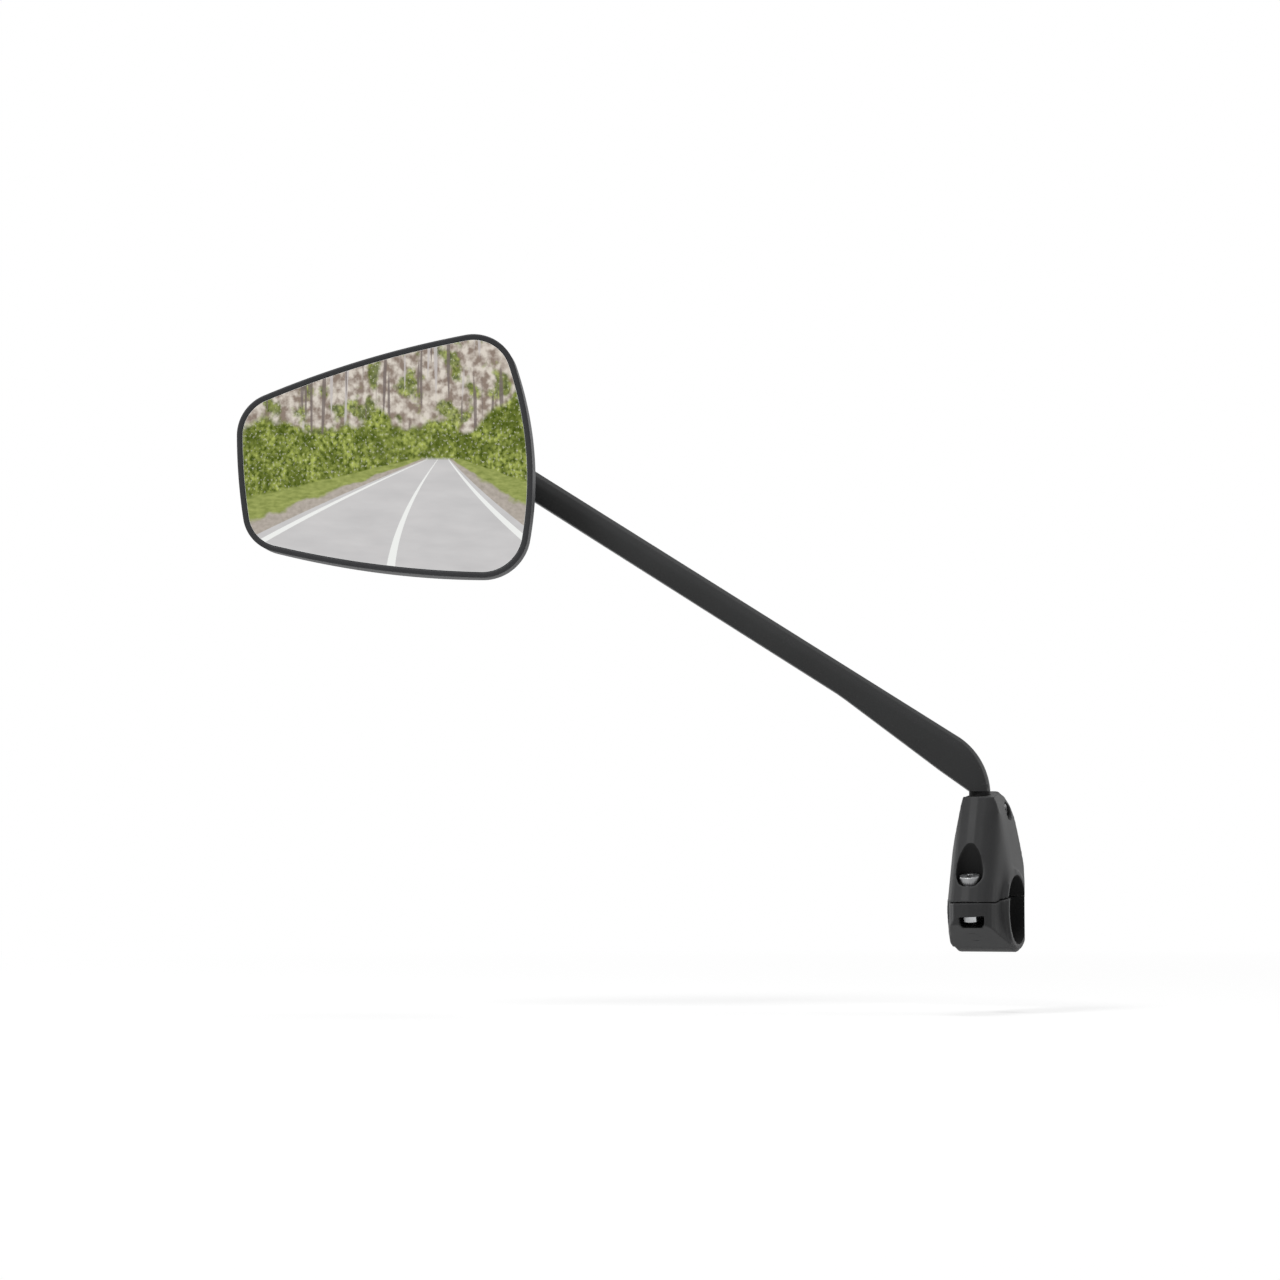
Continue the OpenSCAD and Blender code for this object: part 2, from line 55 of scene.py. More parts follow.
# Camera: a long lens about 1.2 m from the clamp, to the rider's right of the mirror and a
# little below it, so that the arm and the head are seen almost square on.
MM = 0.001
camera = bpy.data.objects.new("camera", bpy.data.cameras.new("camera"))
bpy.context.scene.collection.objects.link(camera)
camera.data.sensor_width = 36.0
camera.data.lens = 103.08
camera.data.clip_start, camera.data.clip_end = 0.05, 60.0
turn, tip = math.radians(20.5), math.radians(-3.5)
look = Vector((-math.sin(turn) * math.cos(tip), math.cos(turn) * math.cos(tip), -math.sin(tip)))
camera.location = Vector((314.57, -1166.88, 14.81)) * MM
camera.rotation_mode = "QUATERNION"
camera.rotation_quaternion = look.to_track_quat("-Z", "Y")
bpy.context.scene.camera = camera
bpy.context.scene.view_settings.view_transform = "Standard"


# Light: a white room for the camera and for reflections, a softer sky for the shading, and
# soft boxes in front, at both sides and above.
def calc(tree, how, *terms):
    """A Math node fed by sockets or plain numbers."""
    node = tree.nodes.new("ShaderNodeMath")
    node.operation = how
    for slot, term in zip(node.inputs, terms):
        if isinstance(term, (int, float)):
            slot.default_value = term
        else:
            tree.links.new(term, slot)
    return node.outputs[0]


def seen_rays(tree):
    """1 for rays that show the backdrop: from the camera, or off metal and through glass."""
    rays = tree.nodes.new("ShaderNodeLightPath").outputs
    glints = calc(tree, "MAXIMUM", rays["Is Glossy Ray"], rays["Is Transmission Ray"])
    return calc(tree, "MAXIMUM", rays["Is Camera Ray"], glints)


def shader_mix(tree, factor, first, second):
    """A Mix Shader between two shaders."""
    node = tree.nodes.new("ShaderNodeMixShader")
    tree.links.new(factor, node.inputs[0])
    tree.links.new(first, node.inputs[1])
    tree.links.new(second, node.inputs[2])
    return node.outputs[0]


def soft_lamp(name, spot, aim, size, watts):
    """A soft box at spot, turned towards aim."""
    lamp = bpy.data.objects.new(name, bpy.data.lights.new(name, "AREA"))
    bpy.context.scene.collection.objects.link(lamp)
    lamp.data.shape = "RECTANGLE"
    lamp.data.size, lamp.data.size_y = size
    lamp.data.energy = watts
    lamp.location = spot
    lamp.rotation_mode = "QUATERNION"
    lamp.rotation_quaternion = (Vector(aim) - Vector(spot)).to_track_quat("-Z", "Y")


world = bpy.data.worlds.new("studio")
bpy.context.scene.world = world
world.use_nodes = True
tree = world.node_tree
tree.nodes.clear()
skies = []
sky_strength, room_strength = 0.18, 1.0
for strength in (sky_strength, room_strength):
    sky = tree.nodes.new("ShaderNodeBackground")
    sky.inputs["Color"].default_value = (1, 1, 1, 1)
    sky.inputs["Strength"].default_value = strength
    skies.append(sky.outputs[0])
room = shader_mix(tree, seen_rays(tree), *skies)
tree.links.new(room, tree.nodes.new("ShaderNodeOutputWorld").inputs["Surface"])
middle = (-0.05, -0.02, 0.08)
soft_lamp("front_lamp", (-0.45, -1.08, 1.2), middle, size=(0.35, 0.35), watts=17.0)
soft_lamp("right_lamp", (0.75, 1.3, 0.4), middle, size=(0.8, 0.8), watts=3.0)
soft_lamp("left_lamp", (-1.4, 0.6, 0.5), middle, size=(0.8, 0.8), watts=6.0)
soft_lamp("top_lamp", (0.0, 0.05, 1.7), middle, size=(0.7, 0.35), watts=13.0)


# Floor: a pale matt sheet a little below the clamp, clear of the jaw when it hangs open. It
# fades into the white room away from the object and keeps the object's shadow.
def map_range(tree, value, start, end, low, high):
    """A clamped Map Range node."""
    node = tree.nodes.new("ShaderNodeMapRange")
    tree.links.new(value, node.inputs["Value"])
    limits = {"From Min": start, "From Max": end, "To Min": low, "To Max": high}
    for name, number in limits.items():
        node.inputs[name].default_value = number
    return node.outputs["Result"]


def flat_sheet(name, corners):
    """A four-cornered sheet of the set, not part of the mirror, and its material's nodes."""
    mesh = bpy.data.meshes.new(name)
    mesh.from_pydata([tuple(c) for c in corners], [], [(0, 1, 2, 3)])
    sheet = bpy.data.objects.new(name, mesh)
    bpy.context.scene.collection.objects.link(sheet)
    mesh.materials.append(bpy.data.materials.new(name))
    mesh.materials[0].use_nodes = True
    return sheet, mesh.materials[0].node_tree


reach, level = 12.0, cad_low.z - 0.02
fade_from, fade_to, least_glow = 0.05, 0.9, 0.72
tree = flat_sheet("floor", [(-reach, -reach, level), (reach, -reach, level),
                            (reach, reach, level), (-reach, reach, level)])[1]
paper = tree.nodes["Principled BSDF"]
paper.inputs["Base Color"].default_value = (0.9, 0.9, 0.9, 1)
paper.inputs["Roughness"].default_value = 0.9
glow = tree.nodes.new("ShaderNodeEmission")
distance = tree.nodes.new("ShaderNodeVectorMath")
distance.operation = "LENGTH"
tree.links.new(tree.nodes.new("ShaderNodeTexCoord").outputs["Object"], distance.inputs[0])
whitened = map_range(tree, distance.outputs["Value"], fade_from, fade_to, least_glow, 1.0)
ground = shader_mix(tree, calc(tree, "MULTIPLY", whitened, seen_rays(tree)), paper.outputs[0],
                    glow.outputs[0])
tree.links.new(ground, tree.nodes["Material Output"].inputs["Surface"])


# Clamp tower: the upper jaw with its spreading tower, one moulding of glass-filled nylon with
# rounded edges and a fine spark-eroded skin. It holds the clamp screw and grips the stem.
def noise(tree, scale, detail=4.0):
    """Noise through the piece, with its scale a number or a socket."""
    node = tree.nodes.new("ShaderNodeTexNoise")
    tree.links.new(tree.nodes.new("ShaderNodeTexCoord").outputs["Object"], node.inputs["Vector"])
    node.inputs["Detail"].default_value = detail
    if isinstance(scale, (int, float)):
        node.inputs["Scale"].default_value = scale
    else:
        tree.links.new(scale, node.inputs["Scale"])
    return node.outputs["Fac"]


def color_mix(tree, factor, first, second):
    """A colour mix whose ends are sockets or plain colours."""
    node = tree.nodes.new("ShaderNodeMix")
    node.data_type = "RGBA"
    tree.links.new(factor, node.inputs["Factor"])
    for slot, color in ((node.inputs["A"], first), (node.inputs["B"], second)):
        if isinstance(color, tuple):
            slot.default_value = (*color, 1)
        else:
            tree.links.new(color, slot)
    return node.outputs["Result"]


def relief(tree, height, strength, depth_mm):
    """The normal of a finely uneven surface."""
    node = tree.nodes.new("ShaderNodeBump")
    node.inputs["Distance"].default_value = depth_mm * MM
    tree.links.new(height, node.inputs["Height"])
    if isinstance(strength, (int, float)):
        node.inputs["Strength"].default_value = strength
    else:
        tree.links.new(strength, node.inputs["Strength"])
    return node.outputs["Normal"]


def group_start(name, numbers, colors):
    """A shader group with its inputs, a number or colour each, and its two common outputs."""
    group = bpy.data.node_groups.new(name, "ShaderNodeTree")
    for label, value in list(colors.items()) + list(numbers.items()):
        kind = "NodeSocketColor" if label in colors else "NodeSocketFloat"
        made = group.interface.new_socket(name=label, in_out="INPUT", socket_type=kind)
        made.default_value = (*value, 1) if label in colors else value
    for label, kind in (("Color", "NodeSocketColor"), ("Roughness", "NodeSocketFloat")):
        group.interface.new_socket(name=label, in_out="OUTPUT", socket_type=kind)
    return group, group.nodes.new("NodeGroupInput").outputs, group.nodes.new("NodeGroupOutput")


# Moulded Skin: an eroded texture, with slow changes of tone and gloss and small pale flecks
cloud_scale, gloss_spread, grain_height_mm = 45.0, 0.18, 0.06
fleck_scale, fleck_from, fleck_full, fleck_color = 5200.0, 0.64, 0.8, (0.2, 0.2, 0.2)
moulded_skin, given, leave = group_start(
    "moulded_skin", {"Tone Spread": 0.3, "Roughness": 0.5, "Grain Scale": 2500.0,
                     "Grain Depth": 0.3, "Flecks": 0.1}, {"Color": (0.02, 0.02, 0.02)})
moulded_skin.interface.new_socket(name="Normal", in_out="OUTPUT", socket_type="NodeSocketVector")
slow = calc(moulded_skin, "SUBTRACT", noise(moulded_skin, cloud_scale, detail=5.0), 0.5)
lift = calc(moulded_skin, "MULTIPLY_ADD", slow, given["Tone Spread"], 1.0)
toned = moulded_skin.nodes.new("ShaderNodeVectorMath")
toned.operation = "SCALE"
moulded_skin.links.new(given["Color"], toned.inputs[0])
moulded_skin.links.new(lift, toned.inputs["Scale"])
fleck = calc(moulded_skin, "MULTIPLY", given["Flecks"],
             map_range(moulded_skin, noise(moulded_skin, fleck_scale, detail=1.0),
                       fleck_from, fleck_full, 0.0, 1.0))
flecked = color_mix(moulded_skin, fleck, toned.outputs["Vector"], fleck_color)
moulded_skin.links.new(flecked, leave.inputs["Color"])
gloss = calc(moulded_skin, "MULTIPLY_ADD", slow, gloss_spread, given["Roughness"])
moulded_skin.links.new(gloss, leave.inputs["Roughness"])
grain = relief(moulded_skin, noise(moulded_skin, given["Grain Scale"], detail=2.0),
               given["Grain Depth"], grain_height_mm)
moulded_skin.links.new(grain, leave.inputs["Normal"])

# Edge Wear: paler and smoother where an edge is rubbed. The rounded normal's dot product with
# the true one is edge_starts or more on a flat face, and edge_full or less on a sharp edge.
edge_radius_mm, edge_starts, edge_full, rub_polish = 0.7, 0.995, 0.9, -0.2
patch_scale, patch_from, patch_full, least_rub = 160.0, 0.4, 0.66, 0.15
edge_wear, given, leave = group_start(
    "edge_wear", {"Roughness": 0.5, "Amount": 0.4}, {"Color": (0.02, 0.02, 0.02),
                                                    "Worn Color": (0.1, 0.1, 0.1)})
rounded = edge_wear.nodes.new("ShaderNodeBevel")
rounded.samples = 4
rounded.inputs["Radius"].default_value = edge_radius_mm * MM
facing = edge_wear.nodes.new("ShaderNodeVectorMath")
facing.operation = "DOT_PRODUCT"
edge_wear.links.new(rounded.outputs["Normal"], facing.inputs[0])
true_normal = edge_wear.nodes.new("ShaderNodeNewGeometry").outputs["Normal"]
edge_wear.links.new(true_normal, facing.inputs[1])
rubbed = calc(edge_wear, "MULTIPLY",
              map_range(edge_wear, facing.outputs["Value"], edge_starts, edge_full, 0.0, 1.0),
              map_range(edge_wear, noise(edge_wear, patch_scale), patch_from, patch_full,
                        least_rub, 1.0))
rubbed = calc(edge_wear, "MULTIPLY", rubbed, given["Amount"])
edge_wear.links.new(color_mix(edge_wear, rubbed, given["Color"], given["Worn Color"]),
                    leave.inputs["Color"])
edge_wear.links.new(calc(edge_wear, "MULTIPLY_ADD", rubbed, rub_polish, given["Roughness"]),
                    leave.inputs["Roughness"])


def place_group(tree, group, **values):
    """A copy of a shader group in a material, with its own values."""
    node = tree.nodes.new("ShaderNodeGroup")
    node.node_tree = group
    for name, value in values.items():
        node.inputs[name.replace("_", " ")].default_value = value
    return node


def inside_rods(tree, rods, top):
    """1 within the radius of any of the rods (point, axis, radius) below top, 0 elsewhere."""
    place = tree.nodes.new("ShaderNodeTexCoord").outputs["Object"]
    inside = 0.0
    for point, axis, radius in rods:
        steps = [("SUBTRACT", Vector(point) * MM), ("CROSS_PRODUCT", Vector(axis).normalized()),
                 ("LENGTH", None)]
        link = place
        for how, value in steps:
            step = tree.nodes.new("ShaderNodeVectorMath")
            step.operation = how
            tree.links.new(link, step.inputs[0])
            if value:
                step.inputs[1].default_value = value
            link = step.outputs["Value" if how == "LENGTH" else "Vector"]
        inside = calc(tree, "MAXIMUM", inside, calc(tree, "LESS_THAN", link, radius * MM))
    height = tree.nodes.new("ShaderNodeSeparateXYZ")
    tree.links.new(place, height.inputs["Vector"])
    below = calc(tree, "LESS_THAN", height.outputs["Z"], top * MM)
    return calc(tree, "MULTIPLY", inside, below)


def moulded_plastic(name, color, rough, grain, depth, worn, amount, gloss_level, flecks=0.1,
                    shaded_recesses=(), shade_top=100.0):
    """Matt moulded plastic: eroded skin, then rubbed edges. Within the rods, as inside_rods
    takes them, below the given top, shade is painted in: the colour is darker, and the skin
    duller."""
    tone_spread, painted_shade_tone, recess_rough = 0.35, 0.3, 0.8
    plastic = bpy.data.materials.new(name)
    plastic.use_nodes = True
    tree = plastic.node_tree
    shader = tree.nodes["Principled BSDF"]
    shader.inputs["Specular IOR Level"].default_value = gloss_level
    skin = place_group(tree, moulded_skin, Color=(*color, 1), Tone_Spread=tone_spread,
                       Roughness=rough, Grain_Scale=grain, Grain_Depth=depth, Flecks=flecks)
    wear = place_group(tree, edge_wear, Worn_Color=(*worn, 1), Amount=amount)
    for passed in ("Color", "Roughness"):
        tree.links.new(skin.outputs[passed], wear.inputs[passed])
    tone, gloss = wear.outputs["Color"], wear.outputs["Roughness"]
    # Painted shade: within the rods the colour falls to 0.3 of the plastic's own, and the skin
    # is made duller.
    if shaded_recesses:
        inside = inside_rods(tree, shaded_recesses, shade_top)
        tone = color_mix(tree, inside, tone, tuple(painted_shade_tone * part for part in color))
        gloss = calc(tree, "MAXIMUM", gloss, calc(tree, "MULTIPLY", inside, recess_rough))
    tree.links.new(tone, shader.inputs["Base Color"])
    tree.links.new(gloss, shader.inputs["Roughness"])
    tree.links.new(skin.outputs["Normal"], shader.inputs["Normal"])
    return plastic


def piece_object(name, mesh):
    """A new object in the scene."""
    piece = bpy.data.objects.new(name, mesh)
    bpy.context.scene.collection.objects.link(piece)
    return piece


def cad_copy(name, node):
    """A merged copy of a node's mesh."""
    b = bmesh.new()
    b.from_mesh(nodes[node].data)
    bmesh.ops.remove_doubles(b, verts=b.verts, dist=1e-6)
    mesh = bpy.data.meshes.new(name)
    b.to_mesh(mesh)
    b.free()
    return piece_object(name, mesh)


def apply_modifiers(piece):
    """Turns the modifiers into plain mesh."""
    solved = piece.evaluated_get(bpy.context.evaluated_depsgraph_get())
    made = bpy.data.meshes.new_from_object(solved)
    piece.modifiers.clear()
    piece.data = made


def finish_piece(piece, material, node, body, break_angle=None):
    """Shades the piece, gives it its material and puts it in its node's place."""
    mesh = piece.data
    mesh.shade_smooth()
    if break_angle:
        mesh.set_sharp_from_angle(angle=math.radians(break_angle))
    mesh.materials.clear()
    mesh.materials.append(material)
    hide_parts(node)
    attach(piece, body)


def soft_moulding(name, node, voxel, rods, hold, rounds, melt=None, melt_rounds=0):
    """The node's shape as it leaves the mould: edges rounded over, bores kept exact.
    Rods are (point, axis, radius), hold says where the surface stays sharp, and melt where
    it is rounded over far more. A round pulls in and then lets out, so that nothing shrinks,
    but a melt round only pulls in."""
    pull_in, let_out, snap = 0.5, -0.51, 0.45 * voxel
    piece = cad_copy(name, node)
    grid = piece.modifiers.new("grid", "REMESH")
    grid.mode = "VOXEL"
    grid.voxel_size = voxel * MM
    apply_modifiers(piece)
    mesh = piece.data
    count = len(mesh.vertices)
    at = np.empty(count * 3)
    mesh.vertices.foreach_get("co", at)
    at = at.reshape(-1, 3) / MM
    ends = np.empty(len(mesh.edges) * 2, dtype=np.int32)
    mesh.edges.foreach_get("vertices", ends)
    ends = np.vstack([ends.reshape(-1, 2), ends.reshape(-1, 2)[:, ::-1]])
    valence = np.bincount(ends[:, 0], minlength=count)
    stay = hold(at)
    for point, axis, radius in rods:
        axis = np.array(axis) / np.linalg.norm(axis)
        along = (at - point) @ axis
        foot = point + np.outer(along, axis)
        away = np.linalg.norm(at - foot, axis=1)
        near = abs(away - radius) < snap
        at[near] = foot[near] + (at - foot)[near] * (radius / away[near])[:, None]
        stay[near] = 1
    give = 1 - stay
    steps = [(pull, give) for step in range(rounds) for pull in (pull_in, let_out)]
    if melt:
        steps = [(pull_in, give * melt(at))] * melt_rounds + steps
    for pull, free in steps:
        mean = [np.bincount(ends[:, 0], weights=at[ends[:, 1], k], minlength=count)
                for k in range(3)]
        mean = np.array(mean).T / valence[:, None]
        at += pull * free[:, None] * (mean - at)
    mesh.vertices.foreach_set("co", (at * MM).ravel())
    mesh.update()
    return piece


bar_x, upright, lean = (1, 0, 0), (0, 0, 1), math.radians(15)
bar_point, bar_r = (0, 0, 0), 11.15
screw_point, screw_axis = (-0.9, -18.5, 8.2), (0, -math.sin(lean), math.cos(lean))
stem_point, hinge_point, lock_point = (-1.5, -4.5, 0), (0, 16.4, 4.5), (0, 2.6, 32.1)


def near_parting(at):
    """Where the edges stay sharp: both lips of the parting, and a thin crease on the front."""
    parting_y, parting_z, lip = [-17, -9.5, bar_r, 13.8], [2.6, 4.5, 4.5, 3.5], 1.0
    half_crease, crease_back, crease_foot = 0.35, -8, 14
    lips = 0.85 * (abs(at[:, 2] - np.interp(at[:, 1], parting_y, parting_z)) < lip)
    crease = 0.75 * ((abs(at[:, 0]) < half_crease) & (at[:, 1] < crease_back)
                     & (at[:, 2] > crease_foot))
    return np.maximum(lips, crease)


def right_flank(at):
    """Where the tower's front rolls over into its right side in one wide curve. It fades out
    along x, y and z, from 1 to 0 between these places in millimetres."""
    ramps = [np.interp(at[:, 0], [2.5, 4.5], [0, 1]), np.interp(at[:, 1], [-6, -1], [1, 0]),
             np.interp(at[:, 2], [8, 13, 29, 32], [0, 1, 1, 0])]
    return ramps[0] * ramps[1] * ramps[2]


def nylon(name, shaded_recesses):
    """The clamp's black glass-filled nylon, with shade painted in within the given rods."""
    return moulded_plastic(name, (0.022, 0.0223, 0.023), rough=0.56, grain=2300.0, depth=0.4,
                           worn=(0.08, 0.08, 0.085), amount=0.25, gloss_level=0.2,
                           shaded_recesses=shaded_recesses)


# Rods within which shade is painted on the clamp: a little wider than the bar's bore, and round
# the clamp screw's pocket.
bore_shade_rod, pocket_shade_rod = (bar_point, bar_x, bar_r + 0.2), (screw_point, screw_axis, 4.4)
bar_bore, screw_hole = (bar_point, bar_x, bar_r), (screw_point, screw_axis, 2.2)
pin_hole, lock_hole = (hinge_point, bar_x, 1.25), (lock_point, bar_x, 1.6)
stem_bores = [(stem_point, upright, bore_r) for bore_r in (3.45, 2.35, 3.9)]
tower_voxel, jaw_voxel = 0.33, 0.3
tower = soft_moulding(
    "clamp_tower_moulding", "clamp_tower", tower_voxel,
    [bar_bore, *stem_bores, pin_hole, lock_hole, screw_hole], near_parting, rounds=32,
    melt=right_flank, melt_rounds=220)
# Shade is painted inside the tower's part of the bar's bore and inside the screw's pocket.
finish_piece(tower, nylon("tower_nylon", [bore_shade_rod, pocket_shade_rod]), "clamp_tower", "clamp")


# Lower jaw: the same nylon, hinged behind the bar and drawn up in front by the clamp screw.
# Its boss has a window in front, where the nut is pushed in.
jaw_pin_hole, jaw_screw_hole = (hinge_point, bar_x, 1.3), (screw_point, screw_axis, 2.25)
jaw = soft_moulding("lower_jaw_moulding", "lower_jaw", jaw_voxel,
                    [bar_bore, jaw_pin_hole, jaw_screw_hole], near_parting, rounds=22)
# Shade is painted inside the jaw's part of the bar's bore.
finish_piece(jaw, nylon("jaw_nylon", [bore_shade_rod]), "lower_jaw", "jaw")


# Hinge pin: a turned pin of zinc-plated steel with broken ends. It is pressed through the
# tower's knuckles, and the lower jaw turns on it.
def lofted(name, rings, place, closed=False):
    """A skin over a stack of equal rings in millimetres, capped unless it closes on itself."""
    b = bmesh.new()
    rows = [[b.verts.new(Vector(p) * MM) for p in ring] for ring in rings]
    for low, high in list(zip(rows, rows[1:])) + ([(rows[-1], rows[0])] if closed else []):
        for k in range(len(low)):
            b.faces.new((low[k], low[k - 1], high[k - 1], high[k]))
    if not closed:
        b.faces.new(rows[0])
        b.faces.new(rows[-1])
    bmesh.ops.recalc_face_normals(b, faces=b.faces)
    mesh = bpy.data.meshes.new(name)
    b.to_mesh(mesh)
    b.free()
    mesh.transform(place)
    return piece_object(name, mesh)


def hexagon(across, angle):
    """Distance from the middle to the side of a hexagon in this direction."""
    return across / 2 / math.cos(angle % (math.pi / 3) - math.pi / 6)


def turned(name, profile, place, closed=False, sides=72):
    """A turned piece along Z. Its profile is (radius, height) pairs; a radius may be a
    function of the angle, as for a hexagon or a knurl, and so may a height."""
    rings = []
    for radius, height in profile:
        ring = []
        for k in range(sides):
            a = 2 * math.pi * k / sides
            r = radius(a) if callable(radius) else radius
            z = height(a) if callable(height) else height
            ring.append((r * math.cos(a), r * math.sin(a), z))
        rings.append(ring)
    return lofted(name, rings, place, closed)


def shift(x, y, z):
    """A move in millimetres."""
    return Matrix.Translation(Vector((x, y, z)) * MM)


def coated_steel(name, color, rough):
    """Plated or blackened steel: faint marks and small changes of gloss, dulled here and
    there."""
    marks_scale, dull_scale, dull_from, dull_full = 900.0, 220.0, 0.5, 0.75
    marked_tone, dull_tone, dull_gloss = 0.72, 0.6, 0.16
    steel = bpy.data.materials.new(name)
    steel.use_nodes = True
    tree = steel.node_tree
    shader = tree.nodes["Principled BSDF"]
    shader.inputs["Metallic"].default_value = 1.0
    marks = noise(tree, marks_scale, detail=6.0)
    dull = map_range(tree, noise(tree, dull_scale, detail=3.0), dull_from, dull_full, 0.0, 1.0)
    coat = color_mix(tree, marks, tuple(c * marked_tone for c in color), color)
    tree.links.new(color_mix(tree, dull, coat, tuple(c * dull_tone for c in color)),
                   shader.inputs["Base Color"])
    gloss = calc(tree, "MULTIPLY_ADD", marks, rough, rough * 0.5)
    tree.links.new(calc(tree, "MULTIPLY_ADD", dull, dull_gloss, gloss),
                   shader.inputs["Roughness"])
    tree.links.new(relief(tree, marks, strength=0.15, depth_mm=0.03), shader.inputs["Normal"])
    return steel


zinc_steel = coated_steel("zinc_steel", (0.56, 0.57, 0.58), 0.3)
across_bar = Matrix.Rotation(math.radians(90), 4, "Y")
middle_r = 0.01    # the smallest ring of a turned piece, which its end cap closes
pin_r, half_pin, broken = 1.25, 4.2, 0.25
pin = turned("hinge_pin_turned", [
    (middle_r, -half_pin), (pin_r - broken, -half_pin), (pin_r, -half_pin + broken),
    (pin_r, half_pin - broken), (pin_r - broken, half_pin), (middle_r, half_pin)],
    shift(*hinge_point) @ across_bar)
finish_piece(pin, zinc_steel, "hinge_pin", "clamp", break_angle=30)


# Clamp screw: an M4 socket screw of steel, in a darker grey than the plated pieces, with a
# knurled head and a rolled thread. It stands in the pocket of the tower and pulls the nut and
# the lower jaw up.
screw_frame = shift(*screw_point) @ Matrix.Rotation(lean, 4, "X")


def input_socket(group, label, kind, value):
    """Adds a named input to a Geometry Nodes tree and returns its identifier."""
    made = group.interface.new_socket(name=label, in_out="INPUT", socket_type=kind)
    made.default_value = value
    return made.identifier


thread_tree = bpy.data.node_groups.new("rolled_thread", "GeometryNodeTree")
thread_tree.interface.new_socket(name="Geometry", in_out="OUTPUT",
                                 socket_type="NodeSocketGeometry")
sizes = {label: input_socket(thread_tree, label, "NodeSocketFloat", value) for label, value in (
    ("Core Radius", 0.0016), ("Pitch", 0.0007), ("Length", 0.012), ("Depth", 0.0004))}
ridge_finish = input_socket(thread_tree, "Finish", "NodeSocketMaterial", None)
n, link = thread_tree.nodes, thread_tree.links.new
given = n.new("NodeGroupInput").outputs
turns = calc(thread_tree, "DIVIDE", given["Length"], given["Pitch"])
helix = n.new("GeometryNodeCurveSpiral")
helix.inputs["Resolution"].default_value = 32
link(turns, helix.inputs["Rotations"])
link(given["Core Radius"], helix.inputs["Start Radius"])
link(given["Core Radius"], helix.inputs["End Radius"])
link(given["Length"], helix.inputs["Height"])
crest = n.new("GeometryNodeCurvePrimitiveCircle")
crest.inputs["Resolution"].default_value = 4
link(given["Depth"], crest.inputs["Radius"])
sweep = n.new("GeometryNodeCurveToMesh")
sweep.inputs["Fill Caps"].default_value = True
link(helix.outputs["Curve"], sweep.inputs["Curve"])
link(crest.outputs["Curve"], sweep.inputs["Profile Curve"])
solid = n.new("GeometryNodeRealizeInstances")
link(sweep.outputs["Mesh"], solid.inputs["Geometry"])
dressed = n.new("GeometryNodeSetMaterial")
link(solid.outputs["Geometry"], dressed.inputs["Geometry"])
link(given["Finish"], dressed.inputs["Material"])
link(dressed.outputs["Geometry"], n.new("NodeGroupOutput").inputs["Geometry"])


def rolled_thread(core, pitch, length, depth, place):
    """A thread ridge of this size, wound up Z from its own origin."""
    ridge = piece_object("thread", bpy.data.meshes.new("thread"))
    maker = ridge.modifiers.new("thread", "NODES")
    maker.node_group = thread_tree
    for label, value in (("Core Radius", core), ("Pitch", pitch), ("Length", length),
                         ("Depth", depth)):
        maker[sizes[label]] = value * MM
    maker[ridge_finish] = zinc_steel
    apply_modifiers(ridge)
    ridge.data.transform(place)
    return ridge


def add_to(piece, *others):
    """Joins other shells into a piece's mesh."""
    b = bmesh.new()
    for part in (piece, *others):
        b.from_mesh(part.data)
    b.to_mesh(piece.data)
    b.free()
    for part in others:
        bpy.data.objects.remove(part)


def knurl(radius, depth):
    """A fine knurl: the radius dips many times round the head."""
    ridges = 36
    return lambda a: radius - depth * (0.5 + 0.5 * math.cos(ridges * a))


def hex_side(across):
    """The radius of a hexagon of this width across its flats, for a turned profile."""
    return lambda a: hexagon(across, a)


def socket_screw(name, place, head_r, head_h, socket, socket_floor, shank_r, tip_z, core_r):
    """A socket head screw along Z, its head from height 0 up and its shank below: the socket,
    the rounded and knurled head, the plain neck and the core of the thread."""
    knurled = knurl(head_r, 0.07)
    return turned(name, [
        (middle_r, socket_floor - 0.25), (hex_side(socket), socket_floor),
        (hex_side(socket), head_h - 0.2), (socket / 2 + 0.4, head_h), (head_r - 0.5, head_h),
        (head_r - 0.2, head_h - 0.1), (head_r - 0.03, head_h - 0.35),
        (knurled, head_h - 0.55), (knurled, 0.2), (head_r - 0.15, 0),
        (shank_r + 0.15, 0), (shank_r, -0.15), (shank_r, -1.2), (core_r, -1.4),
        (core_r, tip_z + 0.4), (core_r - 0.5, tip_z), (middle_r, tip_z)], place, sides=216)


m4_thread = {"core": 1.62, "pitch": 0.7, "depth": 0.37}
screw = socket_screw("clamp_screw_turned", screw_frame @ shift(0, 0, 0.5), head_r=3.4,
                     head_h=2.6, socket=2.5, socket_floor=0.6, shank_r=2.0, tip_z=-14,
                     core_r=m4_thread["core"])
add_to(screw, rolled_thread(**m4_thread, length=12.1, place=screw_frame @ shift(0, 0, -13.1)))
# A darker grey copy of the coated steel, for the clamp screw only.
darker_steel = coated_steel("darker_steel", (0.36, 0.365, 0.37), 0.36)
finish_piece(screw, darker_steel, "clamp_screw", "screw", break_angle=35)


# Washer and nut of the clamp screw: the blackened steel washer lies on the pocket floor, and
# the zinc-plated steel nut is caught in the boss of the lower jaw.
def flat_washer(name, place, outer, bore, thick):
    """A stamped washer with broken edges, from height 0 up."""
    c = min(0.12, thick / 4)
    return turned(name, [
        (bore, c), (bore + c, 0), (outer - c, 0), (outer, c), (outer, thick - c),
        (outer - c, thick), (bore + c, thick), (bore, thick - c)], place, closed=True)


